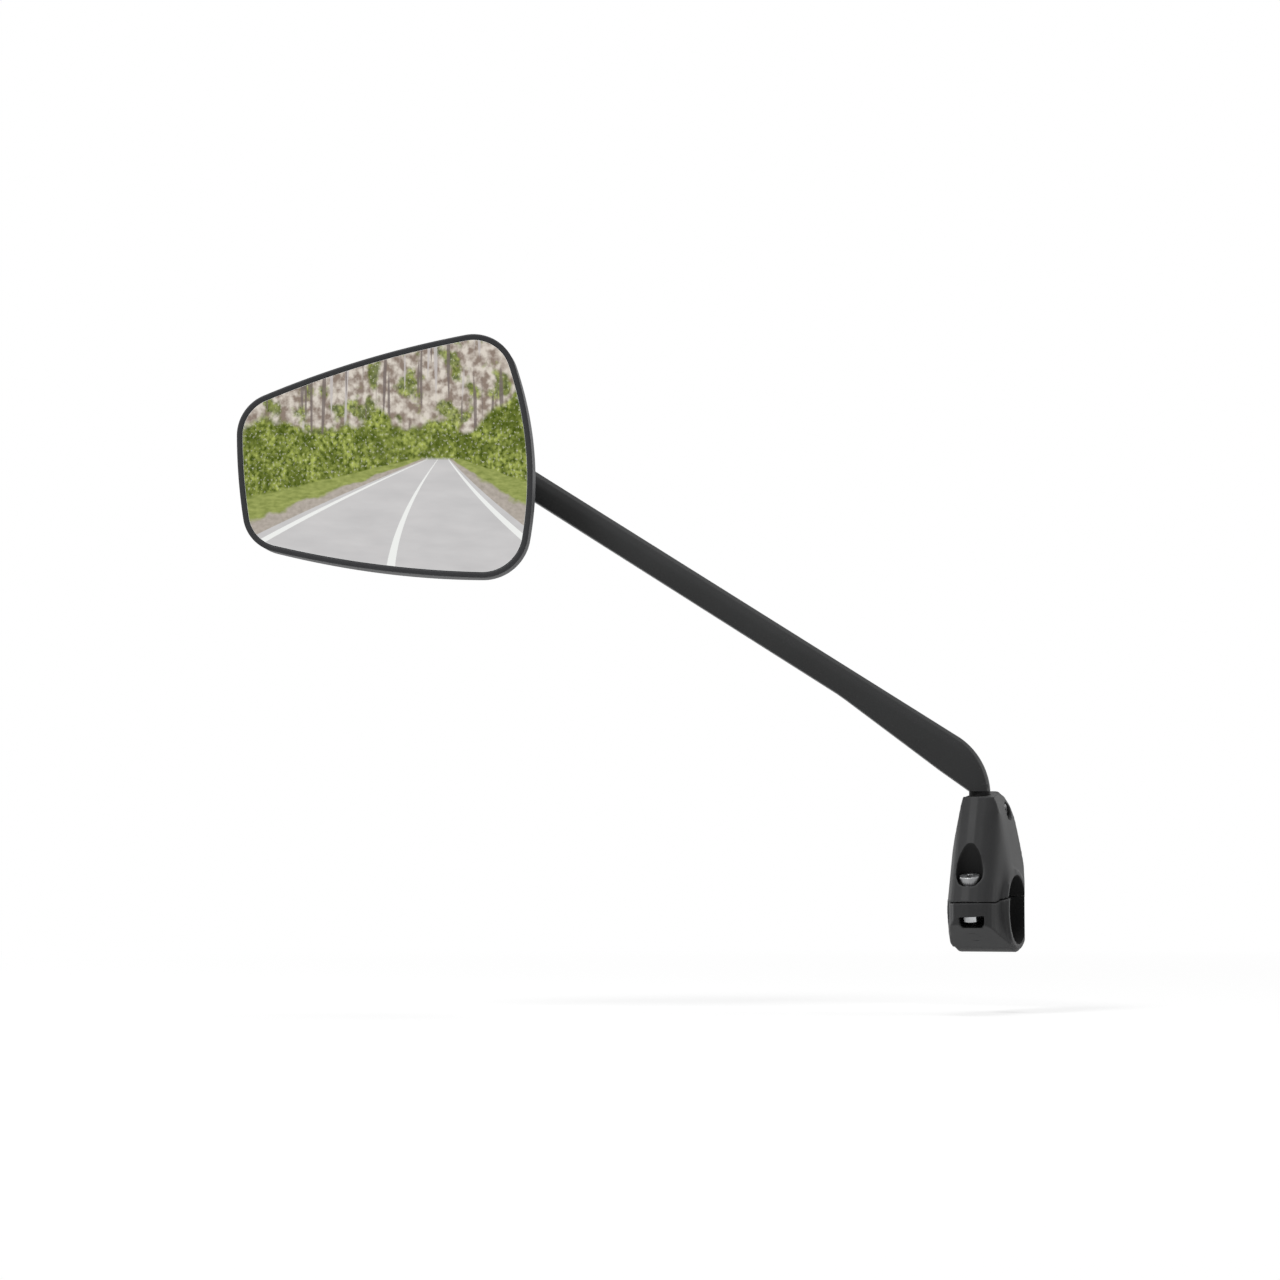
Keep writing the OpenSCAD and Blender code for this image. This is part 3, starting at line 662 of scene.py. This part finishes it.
def hex_nut(name, place, across, bore, thick):
    """A hexagon nut from height 0 up. A cone chamfers its corners at both faces, and c
    breaks the edges of its bore."""
    face_r, chamfer_slope, c = across / 2 * 0.95, 0.5, 0.3

    def chamfer(a):
        return (hexagon(across, a) - face_r) * chamfer_slope

    return turned(name, [
        (bore, c), (bore + c, 0), (face_r, 0), (hex_side(across), chamfer),
        (hex_side(across), lambda a: thick - chamfer(a)), (face_r, thick), (bore + c, thick),
        (bore, thick - c)], place, closed=True)


black_oxide = coated_steel("black_oxide_steel", (0.06, 0.06, 0.062), 0.3)
washer = flat_washer("clamp_washer_stamped", screw_frame, outer=4, bore=2.05, thick=0.5)
finish_piece(washer, black_oxide, "clamp_washer", "screw", break_angle=30)
nut = hex_nut("clamp_nut_formed", screw_frame @ shift(0, 0, -11.8), across=7, bore=2.2,
              thick=3.2)
finish_piece(nut, zinc_steel, "clamp_nut", "jaw", break_angle=30)


# Pinch screw and its nut: a blackened steel M3 socket screw across the top of the tower,
# which closes the split collar on the stem.
lock_frame = shift(*lock_point) @ across_bar
m3_thread = {"core": 1.2, "pitch": 0.5, "depth": 0.28}
lock_screw = socket_screw("pinch_screw_turned", lock_frame @ shift(0, 0, 3.2), head_r=2.6,
                          head_h=2.2, socket=2.0, socket_floor=0.7, shank_r=1.5, tip_z=-9.1,
                          core_r=m3_thread["core"])
add_to(lock_screw, rolled_thread(**m3_thread, length=7.4, place=lock_frame @ shift(0, 0, -5.4)))
finish_piece(lock_screw, black_oxide, "lock_screw", "clamp", break_angle=35)
lock_nut_x, back_across_bar = -3.6, Matrix.Rotation(math.radians(-90), 4, "Y")
lock_nut = hex_nut("pinch_nut_formed", shift(lock_nut_x, *lock_point[1:]) @ back_across_bar,
                   across=5.5, bore=1.52, thick=2.2)
finish_piece(lock_nut, black_oxide, "lock_nut", "clamp", break_angle=30)


# Arm: a nylon blade with bevels to a narrow crown along its upper edge. It turns down over an
# elbow into the foot and the upright stem, whose collar is duller, with shade painted on it
# below the foot. A flat boss behind the head takes the ball stud. One moulding.
arm_frame = shift(*stem_point) @ Matrix.Rotation(math.radians(17.5), 4, "Z")
slope, upper_z0, ball_u, ball_z = 0.633, 52.2, -178.0, 159.874
elbow_u, elbow_z, elbow_r, foot_z = -19.4, 37.3, 23.0, 38.55
lower_edge = [(-178.0, 154.72), (-45.4, 69.99), (-11.2, 44.15), (-3.25, foot_z)]


def under(u, z):
    """The point of the lower edge square below a point of the upper edge."""
    down = Vector((-slope, -1)).normalized()
    for a, b in zip(lower_edge, lower_edge[1:]):
        a, b = Vector(a), Vector(b)
        run = b - a
        spot = a - Vector((u, z))
        det = -down.x * run.y + down.y * run.x
        far = (-spot.x * run.y + spot.y * run.x) / det
        part = (down.x * spot.y - down.y * spot.x) / det
        if 0 <= part <= 1:
            return Vector((u, z)) + down * far
    return Vector(lower_edge[0])


def quarter_turn(steps):
    """(1 - cos, 1 - sin) in even steps from 0 to 90 degrees, for a rounded edge."""
    angles = [math.radians(90 * k / steps) for k in range(steps + 1)]
    return [(1 - math.cos(a), 1 - math.sin(a)) for a in angles]


blade_t, heel = 8.0, 0.7
crown = [(3.8, 0.0), (3.35, 0.05), (3.05, 0.15), (2.85, 0.27), (1.45, 1.12), (1.3, 1.26),
         (1.15, 1.5), (0.5, 2.85), (0.35, 3.2), (0.0, 4.2)]


def blade_section(top, low):
    """A ring round the blade: the crown, both flats and a small rounded corner at each side
    of low. The crown's points are (distance in from the flat, depth below the top)."""
    height = (low - top).length
    down = (low - top).normalized()
    flank = crown + [(heel * out, height - heel * up) for out, up in quarter_turn(8)]
    ring = [(blade_t / 2 - inset, depth) for inset, depth in flank]
    ring += [(-v, depth) for v, depth in reversed(ring)]
    spots = [(top + down * depth, v) for v, depth in ring]
    return [(spot.x, v, spot.y) for spot, v in spots]


# The stations are pairs of a point of the upper edge and one of the lower edge: first down
# the straight run, from beside the ball's axis, then round the elbow to the foot.
stations = []
past_ball, over_ball, run_u, run_z = 5.2, 4.35, 0.845, 0.534
start_u, bend_u = ball_u + past_ball * run_u + over_ball * run_z, -6.2
straight_steps, elbow_steps = 56, 28
for k in range(straight_steps + 1):
    u = start_u + (bend_u - start_u) * k / straight_steps
    z = upper_z0 - slope * u
    stations.append((Vector((u, z)), under(u, z)))
last_low, foot_corner = stations[-1][1], Vector(lower_edge[-1])
elbow_from, elbow_to = math.radians(54.96), math.radians(3.1)
for k in range(1, elbow_steps + 1):
    a = elbow_from + (elbow_to - elbow_from) * k / elbow_steps
    top = Vector((elbow_u + elbow_r * math.cos(a), elbow_z + elbow_r * math.sin(a)))
    stations.append((top, last_low.lerp(foot_corner, k / elbow_steps)))
blade = lofted("arm_moulding", [blade_section(top, low) for top, low in stations], arm_frame)
stem_end, peg_r, shoulder_z, stem_r, screw_bore_r, bore_end = 14.9, 2.3, 18.0, 3.4, 1.25, 20.0
stem_top = foot_z + 2.2
stem = turned("stem", [
    (middle_r, bore_end), (screw_bore_r, bore_end), (screw_bore_r, stem_end),
    (peg_r - 0.2, stem_end), (peg_r, stem_end + 0.2), (peg_r, shoulder_z),
    (stem_r - 0.2, shoulder_z), (stem_r, shoulder_z + 0.2), (stem_r, stem_top),
    (middle_r, stem_top)], arm_frame)
across_arm = Matrix.Rotation(math.radians(-90), 4, "X")
stud_hole_r, boss_r, half_boss, pocket_r, pocket_floor = 2.05, 7.0, 4.0, 4.8, -0.2
boss = turned("boss", [
    (stud_hole_r, -half_boss), (boss_r - 0.7, -half_boss), (boss_r - 0.2, -half_boss + 0.2),
    (boss_r, -half_boss + 0.7), (boss_r, half_boss - 0.7), (boss_r - 0.2, half_boss - 0.2),
    (boss_r - 0.7, half_boss), (pocket_r + 0.2, half_boss), (pocket_r, half_boss - 0.2),
    (pocket_r, pocket_floor), (stud_hole_r, pocket_floor)],
    arm_frame @ shift(ball_u, 0, ball_z) @ across_arm, closed=True)
add_to(blade, stem, boss)
# Painted shade: a dark band round the stem, below the blade's foot.
arm_nylon = moulded_plastic("arm_nylon", (0.017, 0.0175, 0.018), rough=0.46, grain=2300.0,
                            depth=0.35, worn=(0.08, 0.08, 0.085), amount=0.25,
                            gloss_level=0.25, shaded_recesses=[(stem_point, upright, stem_r + 0.06)],
                            shade_top=foot_z + 0.03)
finish_piece(blade, arm_nylon, "arm", "arm_body", break_angle=35)


# Keeper under the stem: a dished spring washer, a washer and a small cross-head screw hold
# the stem down on its ledge. They keep their plain turned shapes, in the same zinc plating.
def finish_node(name, material):
    """Gives a carried-over node its material."""
    nodes[name].data.materials.clear()
    nodes[name].data.materials.append(material)


for name in ("stem_spring", "stem_washer", "stem_screw"):
    finish_node(name, zinc_steel)


# Ball stud: a forged steel ball on a waisted neck, with a hexagon collar and an M4 shank that
# goes through the boss of the arm. A washer and a nut hold it in their pocket behind.
head_frame = arm_frame @ shift(ball_u, -15.5, ball_z)
along_head = head_frame @ across_arm
ball_r, ball_flat, flat_angle, neck_angle, ball_steps = 6.5, -5.9, 24.8, 157, 24
ball_angles = [math.radians(flat_angle + k * (neck_angle - flat_angle) / ball_steps)
               for k in range(ball_steps + 1)]
ball = [(ball_r * math.sin(a), -ball_r * math.cos(a)) for a in ball_angles]
neck_r, collar, shank_end = 2.4, hex_side(8), 19.1
stud = turned("ball_stud_forged", [(middle_r, ball_flat), (2.2, ball_flat)] + ball + [
    (2.42, 6.4), (neck_r, 7.5), (neck_r, 9.4), (2.7, 10.0), (3.6, 10.05), (collar, 10.35),
    (collar, 11.2), (3.7, 11.45), (2.0, 11.45), (m4_thread["core"], 11.7),
    (m4_thread["core"], shank_end - 0.4), (1.3, shank_end), (middle_r, shank_end)], along_head)
add_to(stud, rolled_thread(**m4_thread, length=6.6, place=along_head @ shift(0, 0, 12.0)))
finish_piece(stud, zinc_steel, "ball_stud", "stud", break_angle=35)
stud_washer = flat_washer("stud_washer_stamped", along_head @ shift(0, 0, 15.35), outer=4.4,
                          bore=2.05, thick=0.8)
finish_piece(stud_washer, zinc_steel, "stud_washer", "stud", break_angle=30)
stud_nut = hex_nut("stud_nut_formed", along_head @ shift(0, 0, 16.15), across=7, bore=2.02,
                   thick=2.6)
finish_piece(stud_nut, zinc_steel, "stud_nut", "stud", break_angle=30)


# Socket liner: a slit ring of off-white acetal that snaps over the ball, between it and the
# shell's socket. It keeps its plain moulded shape.
liner_acetal = moulded_plastic("liner_acetal", (0.68, 0.66, 0.6), rough=0.35, grain=3000.0,
                               depth=0.1, worn=(0.76, 0.74, 0.7), amount=0.1,
                               gloss_level=0.4, flecks=0.0)
finish_node("socket_liner", liner_acetal)


# Mirror head: one moulded ABS shell, domed behind, with a rolled rim round the glass and a
# round socket for the ball. The ribs and posts inside stay square.
corner_circles = [(27, 24.3, 14), (-35.5, 5.9, 14), (-34.5, -19.1, 12.9), (30, -25.5, 15)]
side_bulges = [1.8, 0.5, 1.75, 3.6]
head_dx, head_dz, rim_y, glass_y, dome_y, dome_r = -12.0, -13.0, -21.5, -21.0, 2.0, 130.0


def head_outline(inset):
    """The outline of the head, drawn in by inset: four corner arcs and four bowed sides."""
    steps = 26

    def at_corner(i, angle):
        x, z, r = corner_circles[i % 4]
        return Vector((x + (r - inset) * math.cos(angle), z + (r - inset) * math.sin(angle)))

    lengths, facing = [], []
    for i in range(4):
        a, b = corner_circles[i], corner_circles[(i + 1) % 4]
        dx, dz = b[0] - a[0], b[1] - a[1]
        lengths.append(math.hypot(dx, dz))
        facing.append(math.atan2(dz, dx) - math.pi / 2 + math.asin((a[2] - b[2]) / lengths[i]))
    bow = [4 * side_bulges[i] / lengths[i] for i in range(4)]
    ring = []
    for i in range(4):
        a0, a1 = facing[i - 1] + bow[i - 1], facing[i] - bow[i]
        a1 += 2 * math.pi if a1 < a0 - 0.5 else 0
        ring += [at_corner(i, a0 + (a1 - a0) * k / steps) for k in range(steps + 1)]
        p, q = at_corner(i, facing[i] - bow[i]), at_corner(i + 1, facing[i] + bow[i])
        out = Vector((math.cos(facing[i]), math.sin(facing[i])))
        for k in range(1, steps):
            t = k / steps
            ring.append(p.lerp(q, t) + out * side_bulges[i] * 4 * t * (1 - t))
    return [Vector((p.x + head_dx, p.y + head_dz)) for p in ring]


def at_depth(ring, depth):
    """The ring in the head's frame, at one depth or at a depth for each of its points."""
    return [(p.x, depth(p) if callable(depth) else depth, p.y) for p in ring]


def dome(p):
    """The depth of the domed back at this point, a hair inside the built one."""
    flat = (p - Vector((head_dx, head_dz))).length
    return dome_y - dome_r + math.sqrt(dome_r ** 2 - flat ** 2) - 0.05


# The rings run from inside the rim round its roll, along the wall, round the back's edge, in
# over the dome to the socket, and up the socket to its top.
skin_in, rim_roll, back_roll = 0.03, 0.55, 3.0
lip_y, wall_y = rim_y + 0.02, rim_y + 0.57
rings = [at_depth(head_outline(inset), depth) for inset, depth in (
    (2.4, rim_y + 0.5), (1.75, rim_y + 0.3), (1.6, rim_y + 0.1), (1.4, lip_y))]
for out, up in quarter_turn(8):
    rings.append(at_depth(head_outline(skin_in + rim_roll * up), lip_y + rim_roll * out))
for part in (0.25, 0.5, 0.75):
    rings.append(at_depth(head_outline(skin_in),
                          lambda p: wall_y + part * (dome(p) - back_roll - wall_y)))
for out, up in quarter_turn(8):
    rings.append(at_depth(head_outline(skin_in + back_roll * out),
                          lambda p: dome(p) - back_roll * up))
back_edge, dome_steps = head_outline(skin_in + back_roll), 14
socket_foot_r, socket_r, foot_angle, top_angle = 10.3, 9.82, 83, 0.3
for k in range(1, dome_steps + 1):
    part = 1 - k / dome_steps
    rings.append(at_depth([p.normalized() * (socket_foot_r + (p.length - socket_foot_r) * part)
                           for p in back_edge], dome))
round_ring = [p.normalized() for p in back_edge]
for a in range(foot_angle, -1, -4):
    a = math.radians(max(a, top_angle))
    rings.append(at_depth([p * socket_r * math.sin(a) for p in round_ring],
                          socket_r * math.cos(a)))
shell = lofted("head_shell_moulding", rings, head_frame)
inside = cad_copy("inside", "head_shell")
cut = shell.modifiers.new("inside", "BOOLEAN")
cut.operation, cut.solver, cut.object = "INTERSECT", "EXACT", inside
apply_modifiers(shell)
bpy.data.objects.remove(inside)
head_abs = moulded_plastic("head_abs", (0.025, 0.0255, 0.0275), rough=0.52, grain=2800.0,
                           depth=0.25, worn=(0.12, 0.125, 0.13), amount=0.3,
                           gloss_level=0.2)
finish_piece(shell, head_abs, "head_shell", "head", break_angle=32)


# Socket cap and its four screws: the cap closes the socket behind the glass, held by
# self-tapping pan-head screws into posts of the shell.
finish_node("socket_cap", head_abs)
finish_node("cap_screws", zinc_steel)


# Foam pad: a thin sheet of closed-cell foam, cut to the glass's outline. It lies on the
# ledge of the shell and beds the glass.
foam = moulded_plastic("pad_foam", (0.05, 0.05, 0.052), rough=0.85, grain=900.0, depth=0.8,
                       worn=(0.07, 0.07, 0.07), amount=0.1, gloss_level=0.2, flecks=0.3)
finish_node("glass_pad", foam)


# Mirror glass: silvered glass 2 mm thick, ground to the outline of the rim, with a polished
# edge. A few soft smears are all that is on it.
glass_in, ground_edge, front, back = 1.85, 0.12, glass_y + 0.01, glass_y + 2.0
rings = [at_depth(head_outline(glass_in + ground_edge * up), front + ground_edge * out)
         for out, up in quarter_turn(4)]
rings += [at_depth(head_outline(glass_in + ground_edge * out), back - ground_edge * up)
          for out, up in quarter_turn(4)]
glass = lofted("mirror_glass_plate", rings, head_frame)
mirror = bpy.data.materials.new("mirror_silver")
mirror.use_nodes = True
tree = mirror.node_tree
shader = tree.nodes["Principled BSDF"]
shader.inputs["Metallic"].default_value = 1.0
smear, clean_gloss, smeared_gloss = noise(tree, 30.0, detail=8.0), 0.006, 0.018
tree.links.new(color_mix(tree, smear, (0.86, 0.885, 0.885), (0.92, 0.935, 0.93)),
               shader.inputs["Base Color"])
tree.links.new(map_range(tree, smear, 0.55, 0.9, clean_gloss, smeared_gloss),
               shader.inputs["Roughness"])
finish_piece(glass, mirror, "mirror_glass", "head", break_angle=3)


# Reflection card: a sheet behind the viewer that only reflections see. It shows an empty
# country road between shrubs, with a pale hillside behind.
card_middle = Vector((10.7, -1073.0, 259.0)) * MM
toward, upward = Vector((0.1824, -0.977, 0.1118)).normalized(), Vector((0, 0, 1))
across = upward.cross(toward).normalized()
half_w, half_h = 0.32, 0.221
card, tree = flat_sheet("reflection_card", [
    card_middle + across * half_w * sx + upward * half_h * sy
    for sx, sy in ((-1, -1), (1, -1), (1, 1), (-1, 1))])
uv = card.data.uv_layers.new(name="picture")
left, right, bottom, top = -1.5, 2.5, -1.2, 2.2
for loop, (u, v) in zip(uv.data, ((left, bottom), (right, bottom), (right, top), (left, top))):
    loop.uv = (u, v)
tree.nodes.remove(tree.nodes["Principled BSDF"])
spot = tree.nodes.new("ShaderNodeUVMap")
spot.uv_map = "picture"
spot = spot.outputs["UV"]


def picture_noise(scale, stretch=(1, 1, 1), detail=5.0):
    """Noise over the card, stretched as asked."""
    sized = tree.nodes.new("ShaderNodeVectorMath")
    sized.operation = "MULTIPLY"
    sized.inputs[1].default_value = stretch
    tree.links.new(spot, sized.inputs[0])
    node = tree.nodes.new("ShaderNodeTexNoise")
    node.inputs["Scale"].default_value = scale
    node.inputs["Detail"].default_value = detail
    tree.links.new(sized.outputs["Vector"], node.inputs["Vector"])
    return node.outputs["Fac"]


def patches(scale, start, end, low=0.0, high=1.0, stretch=(1.6, 1, 1), detail=5.0):
    """Soft-edged patches where the noise is above start, full from end on."""
    return map_range(tree, picture_noise(scale, stretch, detail), start, end, low, high)


def lay_over(base, top, value, start, end):
    """Base, with top over it where the value is past end, fading in from start."""
    return color_mix(tree, map_range(tree, value, start, end, 0.0, 1.0), base, top)


place = tree.nodes.new("ShaderNodeSeparateXYZ")
tree.links.new(spot, place.inputs[0])
p, q = place.outputs["X"], place.outputs["Y"]

# The road: aside is 0 on its middle line and 1.2 on its edge lines, at every distance
horizon, road_end, far_width, bow = 0.47, 0.004, 0.03, 0.5
fall = calc(tree, "MAXIMUM", calc(tree, "SUBTRACT", horizon, q), road_end)
bend = calc(tree, "SUBTRACT", 0.6, fall)
bend = calc(tree, "MULTIPLY", calc(tree, "MULTIPLY", bend, bend), bow)
side = calc(tree, "SUBTRACT", calc(tree, "SUBTRACT", p, 0.5), bend)
aside = calc(tree, "ABSOLUTE", calc(tree, "DIVIDE", side, calc(tree, "ADD", fall, far_width)))
edge_at, half_edge, half_middle, half_road = 1.2, 0.045, 0.03, 1.36
white_paint = (0.96, 0.95, 0.93)
from_edge = calc(tree, "ABSOLUTE", calc(tree, "SUBTRACT", aside, edge_at))
lines = calc(tree, "MAXIMUM", calc(tree, "LESS_THAN", from_edge, half_edge),
             calc(tree, "LESS_THAN", aside, half_middle))
asphalt = color_mix(tree, picture_noise(6.0, (1, 3, 1), 8.0), (0.56, 0.54, 0.545),
                    (0.74, 0.71, 0.71))
road = color_mix(tree, lines, asphalt, white_paint)

# Gravel, grass and then shrubs beside the road
gravel = color_mix(tree, picture_noise(60.0), (0.3, 0.26, 0.22), (0.66, 0.58, 0.52))
grass = color_mix(tree, picture_noise(34.0, (1, 2, 1), 9.0), (0.09, 0.13, 0.015),
                  (0.56, 0.6, 0.2))
leaves = calc(tree, "MULTIPLY", patches(42.0, 0.36, 0.66, detail=9.0),
              patches(10.0, 0.4, 0.6, low=0.25))
shrubs = color_mix(tree, leaves, (0.07, 0.1, 0.01), (0.5, 0.56, 0.14))
blossom = patches(75.0, 0.58, 0.66, high=0.6)
shrubs = color_mix(tree, blossom, shrubs, (0.7, 0.68, 0.55))
ragged = calc(tree, "MULTIPLY_ADD", picture_noise(14.0), 0.7, aside)
verge = lay_over(gravel, grass, ragged, 2.0, 2.15)
verge = lay_over(verge, shrubs, ragged, 3.1, 3.3)
ground = color_mix(tree, calc(tree, "GREATER_THAN", aside, half_road), road, verge)

# A rocky hillside with bushes and bare trunks, above a ragged hedge
rocks = patches(17.0, 0.4, 0.6, stretch=(1.9, 1.3, 1), detail=9.0)
hill = color_mix(tree, rocks, (0.3, 0.23, 0.19), (0.78, 0.7, 0.62))
hill = color_mix(tree, patches(8.0, 0.52, 0.6, high=0.9), hill, shrubs)
for scale, bark in ((23.0, (0.62, 0.57, 0.56)), (31.0, (0.2, 0.16, 0.15))):
    trunks = patches(scale, 0.62, 0.65, high=0.85, stretch=(1.6, 0.06, 1), detail=1.0)
    hill = color_mix(tree, trunks, hill, bark)
hedge_foot, hedge_height = horizon - 0.06, 0.42
hedge_top = calc(tree, "MULTIPLY_ADD", picture_noise(5.0, (1, 0.4, 1), 8.0), hedge_height,
                 hedge_foot)
hedge_top = calc(tree, "ADD", hedge_top, map_range(tree, p, 0.8, 1.05, 0.0, 0.3))
far_side = lay_over(shrubs, hill, calc(tree, "SUBTRACT", q, hedge_top), -0.01, 0.02)
view = lay_over(ground, far_side, q, horizon - 0.006, horizon + 0.006)
glow = tree.nodes.new("ShaderNodeEmission")
tree.links.new(view, glow.inputs["Color"])
tree.links.new(glow.outputs[0], tree.nodes["Material Output"].inputs["Surface"])
card.visible_camera = card.visible_diffuse = card.visible_shadow = False
card.visible_transmission = card.visible_volume_scatter = False
